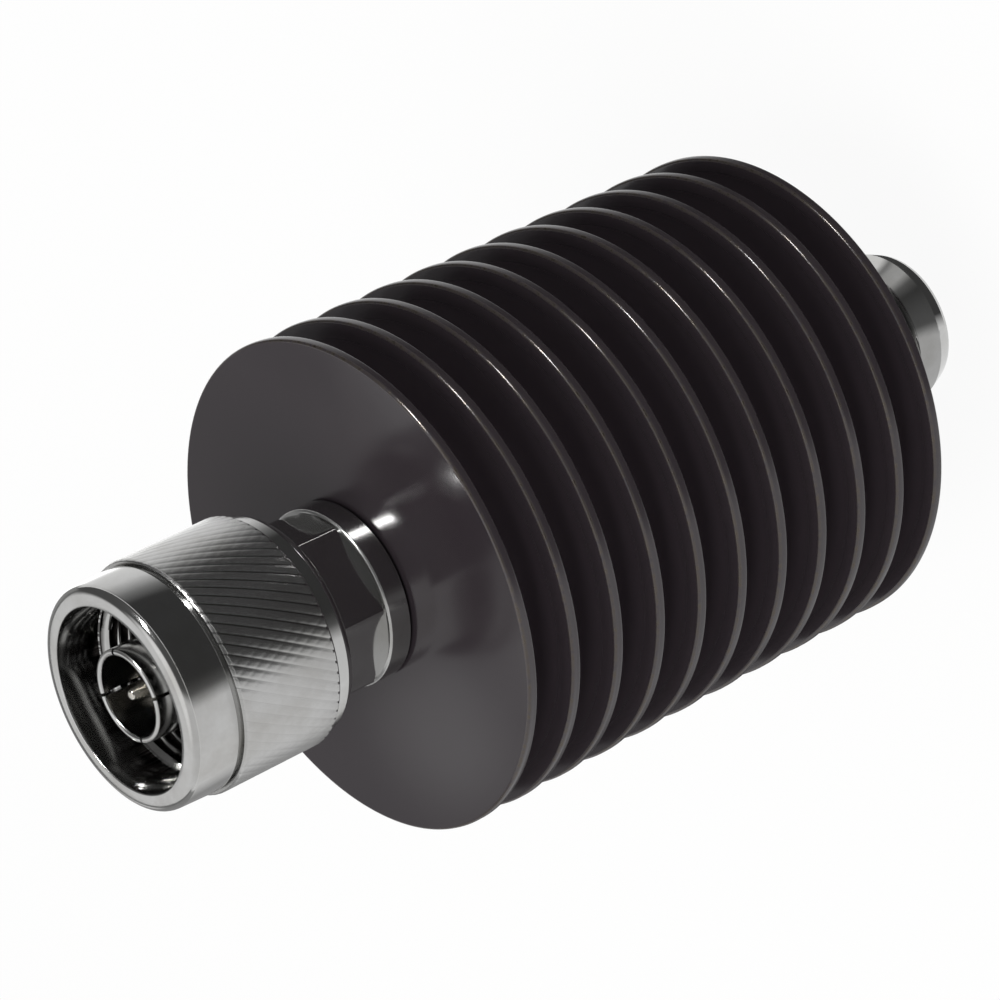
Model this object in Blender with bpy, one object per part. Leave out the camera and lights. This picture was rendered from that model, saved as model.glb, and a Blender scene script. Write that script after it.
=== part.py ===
"""Inline RF attenuator: a finned heat sink between a screw-on coaxial plug and a threaded jack.

The axis is Z. The jack's nose stands on Z = 0 and the plug points up. Sizes are in metres.
Each connector is drawn outward from its own end face of the heat sink.
"""
import math

import bmesh
import bpy

# Clearances
SEAT_GAP = 0.0003           # between two pieces that touch
EDGE_BREAK = 0.00015        # small chamfer on turned edges

# Heat sink
FIN_COUNT = 11
FIN_DIAMETER = 0.0435
FIN_THICKNESS = 0.0010
FIN_PITCH = 0.0047
CORE_DIAMETER = 0.0240
SLOT_ROOT_CHAMFER = 0.0004
SINK_BORE = 0.0130
BORE_CHAMFER = 0.0004

# Parts of both connector bodies
SPIGOT_LENGTH = 0.0070      # screwed into the heat sink
COLLAR_DIAMETER = 0.0158
COLLAR_THICKNESS = 0.0022
ACROSS_FLATS = 0.0136

# Coaxial line
LINE_BORE = 0.0070          # inside of the outer conductor at the mating plane
LINE_PIN = 0.00304          # centre conductor at the mating plane
NECK_PIN = 0.0021           # centre conductor inside the bead and behind it
REAR_BORE = 0.0049          # outer conductor round the necked pin
BEAD_SEAT = 0.0087          # bore that holds the bead
BEAD_THICKNESS = 0.0030
PIN_TIP = 0.00165
TUBE_DIAMETER = 0.0081      # plug's outer contact

# Plug
PLUG_WRENCH_LENGTH = 0.00495
NECK_DIAMETER = 0.0132
RING_GROOVE_DIAMETER = 0.0118
NECK_FLANGE = 0.0013        # neck left in front of the ring groove
TUBE_SEAT_DEPTH = 0.0040    # outer contact inside the neck
TUBE_REACH = 0.0104         # outer contact in front of the neck
TUBE_SLOT_WIDTH = 0.0004
TUBE_SLOT_LENGTH = 0.0068
TUBE_SLOT_TURN = math.radians(65)
PIN_RECESS = 0.0003         # pin tip behind the outer contact's tip
PIN_TIP_LENGTH = 0.0050
PIN_TIP_POINT = 0.0008      # diameter of the pin's blunt point
GASKET_INNER = 0.0093
GASKET_OUTER = 0.0128
GASKET_THICKNESS = 0.0017
GASKET_EDGE = 0.00035

# Coupling nut
NUT_LIP_LENGTH = 0.00225    # rear lip that the retaining ring holds
NUT_OVERHANG = 0.0009       # nut in front of the outer contact's tip
NUT_RELIEF = 0.0161         # bore over the gasket and the ring
NUT_THREAD_BORE = 0.01475
NUT_COUNTERBORE = 0.0161
NUT_COUNTERBORE_DEPTH = 0.0042
NUT_FRONT_DIAMETER = 0.0194
NUT_FRONT_EDGE = 0.0008     # rounding between the front ring and the front face
NUT_RING_DIAMETER = 0.0197
NUT_RING_LENGTH = 0.00435
NUT_GROOVE_DIAMETER = 0.0190
NUT_GROOVE_WIDTH = 0.00035
KNURL_DIAMETER = 0.0204
NUT_BAND_DIAMETER = 0.0194  # smooth band behind the knurl
NUT_BAND_LENGTH = 0.00195
NUT_REAR_DIAMETER = 0.0186
NUT_REAR_TAPER = 0.00065    # part of the band that tapers to the rear face
RING_THICKNESS = 0.0010
RING_OUTER = 0.0150
RING_GAP_ANGLE = math.radians(40)

# Jack
JACK_WRENCH_LENGTH = 0.0025
RELIEF_DIAMETER = 0.0142
RELIEF_LENGTH = 0.0010
JACK_THREAD_DIAMETER = 0.01588
JACK_THREAD_LENGTH = 0.0070
NOSE_DIAMETER = 0.0144
NOSE_LENGTH = 0.0044
NOSE_TIP_DIAMETER = 0.0130
NOSE_CONE_LENGTH = 0.0018
MOUTH_DIAMETER = 0.0098
MOUTH_DEPTH = 0.0008
JACK_BORE = 0.0084
JACK_PLANE_DEPTH = 0.0090   # nose tip to the shoulder where the plug's tube stops
JACK_BEAD_DEPTH = 0.0030    # that shoulder to the bead seat
SOCKET_PROJECTION = 0.0050
SOCKET_BORE = 0.0017
SOCKET_BORE_DEPTH = 0.0056
SOCKET_SLOT_WIDTH = 0.00035
SOCKET_SLOT_LENGTH = 0.0046

# Attenuator cartridge
CHIP_LENGTH = 0.0180
CHIP_WIDTH = 0.0056
CHIP_THICKNESS = 0.0010
RIBBON_WIDTH = 0.0016
RIBBON_THICKNESS = 0.00015
RIBBON_HUMP = 0.0004
RIBBON_OVERLAP = 0.0015     # ribbon on the chip's pad
TAIL_TO_CHIP = 0.0011
TAIL_SLOT_DEPTH = 0.0017
CHANNEL_SIDE_ROOM = 0.00055  # air beside and above the centre conductor
SCREW_INSET = 0.0027        # screw axis from the cartridge's end
SCREW_OFFSET = 0.0039       # screw axis from the cartridge's middle plane
SCREW_DIAMETER = 0.0016
SCREW_LENGTH = 0.0047
SCREW_HEAD_DIAMETER = 0.0030
SCREW_HEAD_HEIGHT = 0.0012
SCREW_HEAD_SEAT = 0.0006    # counterbore floor above the line's axis
SCREW_SOCKET = 0.0015
SCREW_SOCKET_DEPTH = 0.0007

# Facets, round a full turn unless a line says otherwise
SINK_SIDES = 48
BODY_SIDES = 36
NUT_SIDES = 44
TUBE_SIDES = 28
SMALL_SIDES = 16
SCREW_SIDES = 12
RIBBON_STEPS = 8             # facets along a ribbon's hump
CORNER_STEPS = 3             # facets along a rounded corner

MERGE_DISTANCE = 1e-7
SHARP_ANGLE = math.radians(30)

# Lengths that follow from the sizes above
sink_length = (FIN_COUNT - 1) * FIN_PITCH + FIN_THICKNESS
shoulder = SEAT_GAP + COLLAR_THICKNESS
jack_hex_end = shoulder + JACK_WRENCH_LENGTH
jack_thread_start = jack_hex_end + RELIEF_LENGTH
jack_thread_end = jack_thread_start + JACK_THREAD_LENGTH
jack_reach = jack_thread_end + NOSE_LENGTH
plug_hex_end = shoulder + PLUG_WRENCH_LENGTH
nut_rear = plug_hex_end + SEAT_GAP
nut_lip_front = nut_rear + NUT_LIP_LENGTH
ring_groove_end = nut_lip_front + 2 * SEAT_GAP + RING_THICKNESS
neck_front = ring_groove_end + NECK_FLANGE
tube_tip = neck_front + TUBE_REACH
nut_front = tube_tip + NUT_OVERHANG
gasket_front = neck_front + SEAT_GAP + GASKET_THICKNESS
cartridge_radius = SINK_BORE / 2 - SEAT_GAP
cartridge_half = sink_length / 2 - SPIGOT_LENGTH - SEAT_GAP
chip_half = CHIP_LENGTH / 2
tail_end = sink_length / 2 - chip_half - TAIL_TO_CHIP   # from the sink's end face
chip_top = -RIBBON_THICKNESS / 2 - SEAT_GAP
carrier_top = chip_top - CHIP_THICKNESS - SEAT_GAP
cover_bottom = carrier_top + SEAT_GAP


def finish(name, colour, roughness, metallic):
    """A plain surface for one kind of piece."""
    surface = bpy.data.materials.new(name)
    surface.use_nodes = True
    shader = surface.node_tree.nodes["Principled BSDF"]
    shader.inputs["Base Color"].default_value = (*colour, 1.0)
    shader.inputs["Roughness"].default_value = roughness
    shader.inputs["Metallic"].default_value = metallic
    return surface


def frame_empty(name, height, turn):
    """A reference frame on the axis; the pieces drawn from it are its children."""
    empty = bpy.data.objects.new(name, None)
    empty.location = (0, 0, height)
    empty.rotation_euler = (turn, 0, 0)
    bpy.context.scene.collection.objects.link(empty)
    return empty


def add_object(name, bm, surface, parent=None):
    """Turn a bmesh into a named object with its faces pointing out."""
    bmesh.ops.recalc_face_normals(bm, faces=bm.faces)
    mesh = bpy.data.meshes.new(name)
    bm.to_mesh(mesh)
    bm.free()
    mesh.shade_smooth()
    mesh.set_sharp_from_angle(angle=SHARP_ANGLE)
    if surface:
        mesh.materials.append(surface)
    piece = bpy.data.objects.new(name, mesh)
    piece.parent = parent
    bpy.context.scene.collection.objects.link(piece)
    return piece


def turned(name, outline, sides, surface, parent=None, sweep=2 * math.pi):
    """Revolve a closed half section of (radius, height) points about Z."""
    bm = bmesh.new()
    verts = [bm.verts.new((radius, 0, height)) for radius, height in outline]
    full_turn = sweep >= 2 * math.pi
    section = None if full_turn else bm.faces.new(verts)
    for first, second in zip(verts, verts[1:] + verts[:1]):
        on_axis = first.co.x == 0 and second.co.x == 0
        if full_turn and not on_axis:
            bm.edges.new((first, second))
    geometry = [section] if section else verts + bm.edges[:]
    bmesh.ops.spin(bm, geom=geometry, cent=(0, 0, 0), axis=(0, 0, 1), angle=sweep, steps=sides,
                   use_merge=full_turn)
    bmesh.ops.remove_doubles(bm, verts=bm.verts, dist=MERGE_DISTANCE)
    return add_object(name, bm, surface, parent)


def prism(name, outline, low, high, surface=None, parent=None):
    """Extrude a closed outline of (x, y) points along Z."""
    bm = bmesh.new()
    base = bm.faces.new([bm.verts.new((x, y, low)) for x, y in outline])
    moved = bmesh.ops.extrude_face_region(bm, geom=[base])["geom"]
    for vert in (item for item in moved if isinstance(item, bmesh.types.BMVert)):
        vert.co.z = high
    return add_object(name, bm, surface, parent)


def block(name, x_size, y_low, y_high, z_low, z_high, surface=None, parent=None):
    """A box centred on X = 0."""
    x = x_size / 2
    corners = [(-x, y_low), (x, y_low), (x, y_high), (-x, y_high)]
    return prism(name, corners, z_low, z_high, surface, parent)


def polygon(radius, sides, start=0.0):
    """Corner points of a regular polygon."""
    angles = [start + 2 * math.pi * i / sides for i in range(sides)]
    return [(radius * math.cos(angle), radius * math.sin(angle)) for angle in angles]


def rounded_corner(radius, height, edge):
    """Points of a rounded outer corner, from the side up to the face."""
    angles = [math.pi / 2 * i / CORNER_STEPS for i in range(CORNER_STEPS + 1)]
    inner, low = radius - edge, height - edge
    return [(inner + edge * math.cos(angle), low + edge * math.sin(angle)) for angle in angles]


def cut(piece, cutter):
    """Remove the cutter from the piece and hide it."""
    cutter.hide_render = True
    cutter.display_type = "WIRE"
    step = piece.modifiers.new("cut " + cutter.name, "BOOLEAN")
    step.operation = "DIFFERENCE"
    step.solver = "EXACT"
    step.object = cutter


def mill_hexagon(body, low, high):
    """Mill six wrench flats, leaving the hexagon inside a ring-shaped cutter."""
    corner = ACROSS_FLATS / 2 / math.cos(math.pi / 6)
    inner = polygon(corner, 6)
    outer = polygon(COLLAR_DIAMETER, 6)
    bm = bmesh.new()
    rings = [[bm.verts.new((x, y, z)) for x, y in loop] for z in (low, high) for loop in (inner, outer)]
    for first, second in ((0, 1), (1, 3), (3, 2), (2, 0)):
        for i in range(6):
            j = (i + 1) % 6
            bm.faces.new((rings[first][i], rings[first][j], rings[second][j], rings[second][i]))
    cut(body, add_object(body.name + "_wrench_cutter", bm, None, body.parent))


def cross_slots(piece, width, low, high, turn=0.0):
    """Saw two crossing slots through a tube, which leaves four spring fingers."""
    for i in range(2):
        saw = block(f"{piece.name}_saw_{i + 1}", width, -COLLAR_DIAMETER / 2, COLLAR_DIAMETER / 2,
                    low, high, parent=piece.parent)
        saw.rotation_euler = (0, 0, turn + i * math.pi / 2)
        cut(piece, saw)


def body_root(bore, hex_end):
    """The half section both bodies share: spigot in the sink, collar on its face, wrench part."""
    spigot = SINK_BORE / 2 - SEAT_GAP
    collar = COLLAR_DIAMETER / 2
    return [(bore / 2, -SPIGOT_LENGTH), (spigot - EDGE_BREAK, -SPIGOT_LENGTH),
            (spigot, -SPIGOT_LENGTH + EDGE_BREAK), (spigot, SEAT_GAP),
            (collar - EDGE_BREAK, SEAT_GAP), (collar, SEAT_GAP + EDGE_BREAK), (collar, hex_end)]


def heat_sink(surface, parent):
    """One turned bar: equal slots leave thin fins on a core, and a bore runs right through."""
    rim, core, bore = FIN_DIAMETER / 2, CORE_DIAMETER / 2, SINK_BORE / 2
    root = SLOT_ROOT_CHAMFER
    outline = [(bore, BORE_CHAMFER), (bore + BORE_CHAMFER, 0)]
    for i in range(FIN_COUNT):
        low = i * FIN_PITCH
        high = low + FIN_THICKNESS
        next_low = low + FIN_PITCH
        outline += [(rim, low), (rim, high)]
        if i < FIN_COUNT - 1:
            outline += [(core + root, high), (core, high + root), (core, next_low - root),
                        (core + root, next_low)]
    outline += [(bore + BORE_CHAMFER, sink_length), (bore, sink_length - BORE_CHAMFER)]
    return turned("heat_sink", outline, SINK_SIDES, surface, parent)


def plug_body(surface, parent):
    """Body that carries the nut on its neck and the outer contact in its mouth."""
    neck, groove = NECK_DIAMETER / 2, RING_GROOVE_DIAMETER / 2
    seat_floor = neck_front - TUBE_SEAT_DEPTH - 2 * SEAT_GAP - BEAD_THICKNESS
    outline = body_root(REAR_BORE, plug_hex_end)
    outline += [(neck, plug_hex_end), (neck, nut_lip_front), (groove, nut_lip_front),
                (groove, ring_groove_end), (neck, ring_groove_end), (neck, neck_front - EDGE_BREAK),
                (neck - EDGE_BREAK, neck_front), (BEAD_SEAT / 2, neck_front),
                (BEAD_SEAT / 2, seat_floor), (REAR_BORE / 2, seat_floor)]
    body = turned("plug_body", outline, BODY_SIDES, surface, parent)
    mill_hexagon(body, shoulder, plug_hex_end + EDGE_BREAK)
    return body


def plug_outer_contact(surface, parent):
    """Tube seated in the neck behind the gasket, with four spring fingers."""
    outer, inner = TUBE_DIAMETER / 2, LINE_BORE / 2
    rear = neck_front - TUBE_SEAT_DEPTH
    outline = [(inner, rear), (outer, rear), (outer, tube_tip - EDGE_BREAK), (outer - EDGE_BREAK, tube_tip),
               (inner + EDGE_BREAK, tube_tip), (inner, tube_tip - EDGE_BREAK)]
    tube = turned("plug_outer_contact", outline, TUBE_SIDES, surface, parent)
    cross_slots(tube, TUBE_SLOT_WIDTH, tube_tip - TUBE_SLOT_LENGTH, tube_tip + TUBE_SLOT_WIDTH,
                TUBE_SLOT_TURN)
    return tube


def tail_slot(piece, parent):
    """Slot in a centre conductor's tail that takes the ribbon's end."""
    width = RIBBON_THICKNESS + 2 * SEAT_GAP
    slot = block(piece.name + "_tail_slot", 2 * NECK_PIN, -width / 2, width / 2, tail_start(),
                 tail_start() + TAIL_SLOT_DEPTH, parent=parent)
    cut(piece, slot)


def tail_start():
    """Inner end of a centre conductor, counted outward from the sink's end face."""
    return -tail_end


def plug_centre_pin(surface, parent):
    """Pin with a tapered tip, a shoulder, a neck for its bead and a slotted tail."""
    tip, line, neck = PIN_TIP / 2, LINE_PIN / 2, NECK_PIN / 2
    top = tube_tip - PIN_RECESS
    pin_shoulder = top - PIN_TIP_LENGTH
    neck_end = neck_front - TUBE_SEAT_DEPTH
    outline = [(0, tail_start()), (neck, tail_start()), (neck, neck_end), (line, neck_end),
               (line, pin_shoulder - EDGE_BREAK), (line - EDGE_BREAK, pin_shoulder), (tip, pin_shoulder),
               (tip, top - PIN_TIP), (PIN_TIP_POINT / 2, top), (0, top)]
    pin = turned("plug_centre_pin", outline, SMALL_SIDES, surface, parent)
    tail_slot(pin, parent)
    return pin


def bead(name, low, surface, parent):
    """Insulating washer between a centre conductor's neck and its seat."""
    hole, rim = NECK_PIN / 2 + SEAT_GAP, BEAD_SEAT / 2 - SEAT_GAP
    outline = [(hole, low), (rim, low), (rim, low + BEAD_THICKNESS), (hole, low + BEAD_THICKNESS)]
    return turned(name, outline, SMALL_SIDES, surface, parent)


def plug_gasket(surface, parent):
    """Soft ring with rounded edges on the neck's front face."""
    inner, outer = GASKET_INNER / 2, GASKET_OUTER / 2
    low = neck_front + SEAT_GAP
    edge = GASKET_EDGE
    outline = [(inner, low), (outer - edge, low), (outer, low + edge), (outer, gasket_front - edge),
               (outer - edge, gasket_front), (inner, gasket_front)]
    return turned("plug_gasket", outline, TUBE_SIDES, surface, parent)


def coupling_nut(surface, parent):
    """Nut with a smooth front ring, a groove, the knurled grip and a smooth band behind it."""
    knurl, groove, band = KNURL_DIAMETER / 2, NUT_GROOVE_DIAMETER / 2, NUT_BAND_DIAMETER / 2
    relief, thread = NUT_RELIEF / 2, NUT_THREAD_BORE / 2
    counterbore = NUT_COUNTERBORE / 2
    lip = NECK_DIAMETER / 2 + SEAT_GAP
    ring_rear = nut_front - NUT_RING_LENGTH
    knurl_front = ring_rear - NUT_GROOVE_WIDTH
    knurl_rear = nut_rear + NUT_BAND_LENGTH
    thread_front = nut_front - NUT_COUNTERBORE_DEPTH
    lead_in = counterbore - thread
    outline = [(lip, nut_rear), (NUT_REAR_DIAMETER / 2, nut_rear), (band, nut_rear + NUT_REAR_TAPER),
               (band, knurl_rear), (knurl - EDGE_BREAK, knurl_rear), (knurl, knurl_rear + EDGE_BREAK),
               (knurl, knurl_front - EDGE_BREAK), (knurl - EDGE_BREAK, knurl_front),
               (groove, knurl_front), (groove, ring_rear), (NUT_RING_DIAMETER / 2, ring_rear)]
    outline += rounded_corner(NUT_FRONT_DIAMETER / 2, nut_front, NUT_FRONT_EDGE)
    outline += [(counterbore, nut_front), (counterbore, thread_front), (thread, thread_front - lead_in),
                (thread, gasket_front), (relief, gasket_front), (relief, nut_lip_front),
                (lip, nut_lip_front)]
    return turned("coupling_nut", outline, NUT_SIDES, surface, parent)


def nut_retaining_ring(surface, parent):
    """Open ring sprung into the neck's groove in front of the nut's lip."""
    low = nut_lip_front + SEAT_GAP
    inner, outer = RING_GROOVE_DIAMETER / 2 + SEAT_GAP, RING_OUTER / 2
    outline = [(inner, low), (outer, low), (outer, low + RING_THICKNESS), (inner, low + RING_THICKNESS)]
    return turned("nut_retaining_ring", outline, TUBE_SIDES, surface, parent,
                  sweep=2 * math.pi - RING_GAP_ANGLE)


def jack_body(surface, parent):
    """Body with the wrench part, a thread relief, the thread and a smooth tapered nose."""
    relief, thread = RELIEF_DIAMETER / 2, JACK_THREAD_DIAMETER / 2
    nose, tip = NOSE_DIAMETER / 2, NOSE_TIP_DIAMETER / 2
    seat = BEAD_SEAT / 2
    plane = jack_reach - JACK_PLANE_DEPTH
    outline = body_root(BEAD_SEAT, jack_hex_end)
    outline += [(relief, jack_hex_end), (relief, jack_thread_start), (nose, jack_thread_start),
                (thread, jack_thread_start + thread - nose), (thread, jack_thread_end - thread + nose),
                (nose, jack_thread_end), (nose, jack_reach - NOSE_CONE_LENGTH), (tip, jack_reach),
                (MOUTH_DIAMETER / 2, jack_reach), (JACK_BORE / 2, jack_reach - MOUTH_DEPTH),
                (JACK_BORE / 2, plane), (LINE_BORE / 2, plane), (LINE_BORE / 2, plane - JACK_BEAD_DEPTH),
                (seat, plane - JACK_BEAD_DEPTH)]
    body = turned("jack_body", outline, BODY_SIDES, surface, parent)
    mill_hexagon(body, shoulder, jack_hex_end + EDGE_BREAK)
    return body


def jack_bead_top():
    """Outer face of the jack's bead."""
    return jack_reach - JACK_PLANE_DEPTH - JACK_BEAD_DEPTH - SEAT_GAP


def jack_bead_retainer(surface, parent):
    """Tube behind the bead, flush with the spigot's inner end."""
    inner, outer = REAR_BORE / 2, BEAD_SEAT / 2 - SEAT_GAP
    top = jack_bead_top() - BEAD_THICKNESS - SEAT_GAP
    outline = [(inner, -SPIGOT_LENGTH), (outer, -SPIGOT_LENGTH), (outer, top), (inner, top)]
    return turned("jack_bead_retainer", outline, SMALL_SIDES, surface, parent)


def jack_socket_contact(surface, parent):
    """Socket with four spring fingers, a neck for its bead and a slotted tail."""
    line, neck, bore = LINE_PIN / 2, NECK_PIN / 2, SOCKET_BORE / 2
    top = jack_reach - JACK_PLANE_DEPTH + SOCKET_PROJECTION
    neck_end = jack_bead_top() + SEAT_GAP
    outline = [(0, tail_start()), (neck, tail_start()), (neck, neck_end), (line, neck_end),
               (line, top - EDGE_BREAK), (line - EDGE_BREAK, top), (bore + EDGE_BREAK, top),
               (bore, top - EDGE_BREAK), (bore, top - SOCKET_BORE_DEPTH), (0, top - SOCKET_BORE_DEPTH)]
    socket = turned("jack_socket_contact", outline, SMALL_SIDES, surface, parent)
    cross_slots(socket, SOCKET_SLOT_WIDTH, top - SOCKET_SLOT_LENGTH, top + SOCKET_SLOT_WIDTH)
    tail_slot(socket, parent)
    return socket


def d_bar(name, flat, side, surface, parent):
    """Half of a round bar, flat towards the chip; side is +1 above the flat and -1 below it."""
    half_angle = math.acos(side * flat / cartridge_radius)
    angles = [side * math.pi / 2 + half_angle * (2 * i / SMALL_SIDES - 1) for i in range(SMALL_SIDES + 1)]
    outline = [(cartridge_radius * math.cos(angle), cartridge_radius * math.sin(angle)) for angle in angles]
    return prism(name, outline, -cartridge_half, cartridge_half, surface, parent)


def bore_across(name, diameter, x, z, low, high, parent):
    """Cutter for a round hole along Y."""
    cutter = prism(name, polygon(diameter / 2, SMALL_SIDES), low, high, parent=parent)
    cutter.rotation_euler = (-math.pi / 2, 0, 0)
    cutter.location = (x, 0, z)
    return cutter


def screw_places():
    """Axes of the four cover screws as (x, z)."""
    z = cartridge_half - SCREW_INSET
    return [(-SCREW_OFFSET, -z), (SCREW_OFFSET, -z), (-SCREW_OFFSET, z), (SCREW_OFFSET, z)]


def chip_carrier(surface, parent):
    """Half bar under the chip, tapped for the cover screws."""
    carrier = d_bar("chip_carrier", carrier_top, -1, surface, parent)
    for i, (x, z) in enumerate(screw_places()):
        hole = bore_across(f"carrier_hole_{i + 1}", SCREW_DIAMETER + 2 * SEAT_GAP, x, z,
                           -SINK_BORE, 0, parent)
        cut(carrier, hole)
    return carrier


def carrier_cover(surface, parent):
    """Half bar over the chip: a channel for the line, wider round the chip, and four counterbored holes."""
    cover = d_bar("carrier_cover", cover_bottom, 1, surface, parent)
    line_width = NECK_PIN + 2 * CHANNEL_SIDE_ROOM
    roof = line_width / 2
    chip_room = CHIP_LENGTH / 2 + SEAT_GAP
    cut(cover, block("line_channel", line_width, -SINK_BORE, roof, -SINK_BORE - cartridge_half,
                     SINK_BORE + cartridge_half, parent=parent))
    cut(cover, block("chip_channel", CHIP_WIDTH + 2 * SEAT_GAP, -SINK_BORE, roof, -chip_room, chip_room,
                     parent=parent))
    for i, (x, z) in enumerate(screw_places()):
        hole = bore_across(f"cover_hole_{i + 1}", SCREW_DIAMETER + 2 * SEAT_GAP, x, z,
                           -SINK_BORE, SINK_BORE, parent)
        head_room = bore_across(f"cover_counterbore_{i + 1}", SCREW_HEAD_DIAMETER + 2 * SEAT_GAP, x, z,
                                SCREW_HEAD_SEAT, SINK_BORE, parent)
        cut(cover, hole)
        cut(cover, head_room)
    return cover


def attenuator_chip(surface, parent):
    """Ceramic plate with the film on its upper face."""
    return block("attenuator_chip", CHIP_WIDTH, chip_top - CHIP_THICKNESS, chip_top, -chip_half, chip_half,
                 surface, parent)


def ribbon(name, direction, surface, parent):
    """Thin tab from the tail slot to the chip's pad; its hump takes up heat growth."""
    pad_end = chip_half - RIBBON_OVERLAP
    slot_end = chip_half + TAIL_TO_CHIP + TAIL_SLOT_DEPTH - SEAT_GAP
    path = [(pad_end, 0.0)]
    for i in range(RIBBON_STEPS + 1):
        share = i / RIBBON_STEPS
        rise = RIBBON_HUMP * (1 - math.cos(2 * math.pi * share)) / 2
        path.append((chip_half + TAIL_TO_CHIP * share, rise))
    path.append((slot_end, 0.0))
    half = RIBBON_THICKNESS / 2
    outline = [(z, y - half) for z, y in path] + [(z, y + half) for z, y in reversed(path)]
    tab = prism(name, outline, -RIBBON_WIDTH / 2, RIBBON_WIDTH / 2, surface, parent)
    tab.rotation_euler = (0, -direction * math.pi / 2, 0)
    return tab


def cover_screw(index, x, z, surface, parent):
    """Socket head screw, head towards +Y."""
    shank, head = SCREW_DIAMETER / 2, SCREW_HEAD_DIAMETER / 2
    seat = SCREW_HEAD_SEAT + SEAT_GAP
    top = seat + SCREW_HEAD_HEIGHT
    point = seat - SCREW_LENGTH
    outline = [(0, point), (shank - EDGE_BREAK, point), (shank, point + EDGE_BREAK), (shank, seat),
               (head, seat), (head, top - EDGE_BREAK), (head - EDGE_BREAK, top), (0, top)]
    screw = turned(f"cover_screw_{index}", outline, SCREW_SIDES, surface, parent)
    socket = prism(f"screw_socket_{index}", polygon(SCREW_SOCKET / 2 / math.cos(math.pi / 6), 6),
                   top - SCREW_SOCKET_DEPTH, top + SCREW_SOCKET_DEPTH, parent=parent)
    for item in (screw, socket):
        item.rotation_euler = (-math.pi / 2, 0, 0)
        item.location = (x, 0, z)
    cut(screw, socket)
    return screw


for old in list(bpy.data.objects):
    bpy.data.objects.remove(old, do_unlink=True)

black_anodised = finish("black anodised aluminium", (0.012, 0.011, 0.012), 0.45, 0.6)
nickel = finish("nickel plated brass", (0.60, 0.59, 0.58), 0.22, 1.0)
silver = finish("silver plated contact", (0.80, 0.79, 0.77), 0.22, 1.0)
spring_steel = finish("spring steel", (0.45, 0.44, 0.43), 0.30, 1.0)
ptfe = finish("PTFE", (0.85, 0.85, 0.83), 0.45, 0.0)
silicone = finish("silicone rubber", (0.03, 0.027, 0.026), 0.60, 0.0)
bare_aluminium = finish("bare aluminium", (0.72, 0.72, 0.73), 0.35, 1.0)
ceramic = finish("alumina ceramic", (0.80, 0.79, 0.74), 0.55, 0.0)
silver_foil = finish("silver foil", (0.86, 0.85, 0.82), 0.25, 1.0)
steel = finish("zinc plated steel", (0.55, 0.55, 0.54), 0.30, 1.0)

sink_frame = frame_empty("sink_frame", jack_reach, 0.0)
middle_frame = frame_empty("middle_frame", jack_reach + sink_length / 2, 0.0)
plug_frame = frame_empty("plug_frame", jack_reach + sink_length, 0.0)
jack_frame = frame_empty("jack_frame", jack_reach, math.pi)

heat_sink(black_anodised, sink_frame)

plug_body(nickel, plug_frame)
plug_outer_contact(nickel, plug_frame)
plug_centre_pin(silver, plug_frame)
bead("plug_bead", neck_front - TUBE_SEAT_DEPTH - SEAT_GAP - BEAD_THICKNESS, ptfe, plug_frame)
plug_gasket(silicone, plug_frame)
coupling_nut(nickel, plug_frame)
nut_retaining_ring(spring_steel, plug_frame)

jack_body(nickel, jack_frame)
bead("jack_bead", jack_bead_top() - BEAD_THICKNESS, ptfe, jack_frame)
jack_bead_retainer(nickel, jack_frame)
jack_socket_contact(silver, jack_frame)

chip_carrier(bare_aluminium, middle_frame)
carrier_cover(bare_aluminium, middle_frame)
attenuator_chip(ceramic, middle_frame)
ribbon("input_ribbon", 1, silver_foil, middle_frame)
ribbon("output_ribbon", -1, silver_foil, middle_frame)
for number, (screw_x, screw_z) in enumerate(screw_places(), start=1):
    cover_screw(number, screw_x, screw_z, steel, middle_frame)
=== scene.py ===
import math

import bmesh
import bpy
import numpy as np
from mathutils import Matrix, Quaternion, Vector


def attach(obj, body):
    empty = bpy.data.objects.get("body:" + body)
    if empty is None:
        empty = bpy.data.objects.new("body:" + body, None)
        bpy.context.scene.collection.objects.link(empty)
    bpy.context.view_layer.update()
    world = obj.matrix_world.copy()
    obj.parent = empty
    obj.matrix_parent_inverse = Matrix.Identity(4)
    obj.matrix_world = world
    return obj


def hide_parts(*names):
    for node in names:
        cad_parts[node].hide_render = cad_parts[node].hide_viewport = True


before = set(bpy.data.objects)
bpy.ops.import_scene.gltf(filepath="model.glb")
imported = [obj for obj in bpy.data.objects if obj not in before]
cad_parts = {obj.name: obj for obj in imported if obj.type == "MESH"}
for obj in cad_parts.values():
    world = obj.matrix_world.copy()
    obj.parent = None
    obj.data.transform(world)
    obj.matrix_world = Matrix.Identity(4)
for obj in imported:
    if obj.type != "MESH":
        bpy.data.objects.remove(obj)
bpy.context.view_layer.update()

MM = 0.001

# Camera
# The picture looks down on the plug's end through a long lens. The part stands on its jack here, and the
# camera's roll lays it across the frame from lower left to upper right. Place, aim and roll were fitted to
# the fins' edges in the picture.
CAMERA_PLACE = Vector((-45.290, -285.728, 247.545)) * MM
CAMERA_AIM = Vector((1.178, -0.192, 48.138)) * MM
CAMERA_ROLL = math.radians(-115.823)
FOCAL_LENGTH = 149.277
SENSOR_WIDTH = 36.0
NEAREST = 10 * MM                # nothing stands closer to the lens

lens = bpy.data.cameras.new("picture_camera")
lens.lens = FOCAL_LENGTH
lens.sensor_width = SENSOR_WIDTH
lens.clip_start = NEAREST
camera = bpy.data.objects.new("picture_camera", lens)
camera.location = CAMERA_PLACE
camera.rotation_mode = "QUATERNION"
camera.rotation_quaternion = (CAMERA_AIM - CAMERA_PLACE).to_track_quat("-Z", "Y") @ Quaternion((0, 0, 1), CAMERA_ROLL)
bpy.context.scene.collection.objects.link(camera)
bpy.context.scene.camera = camera
bpy.context.scene.view_settings.view_transform = "Standard"

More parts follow.
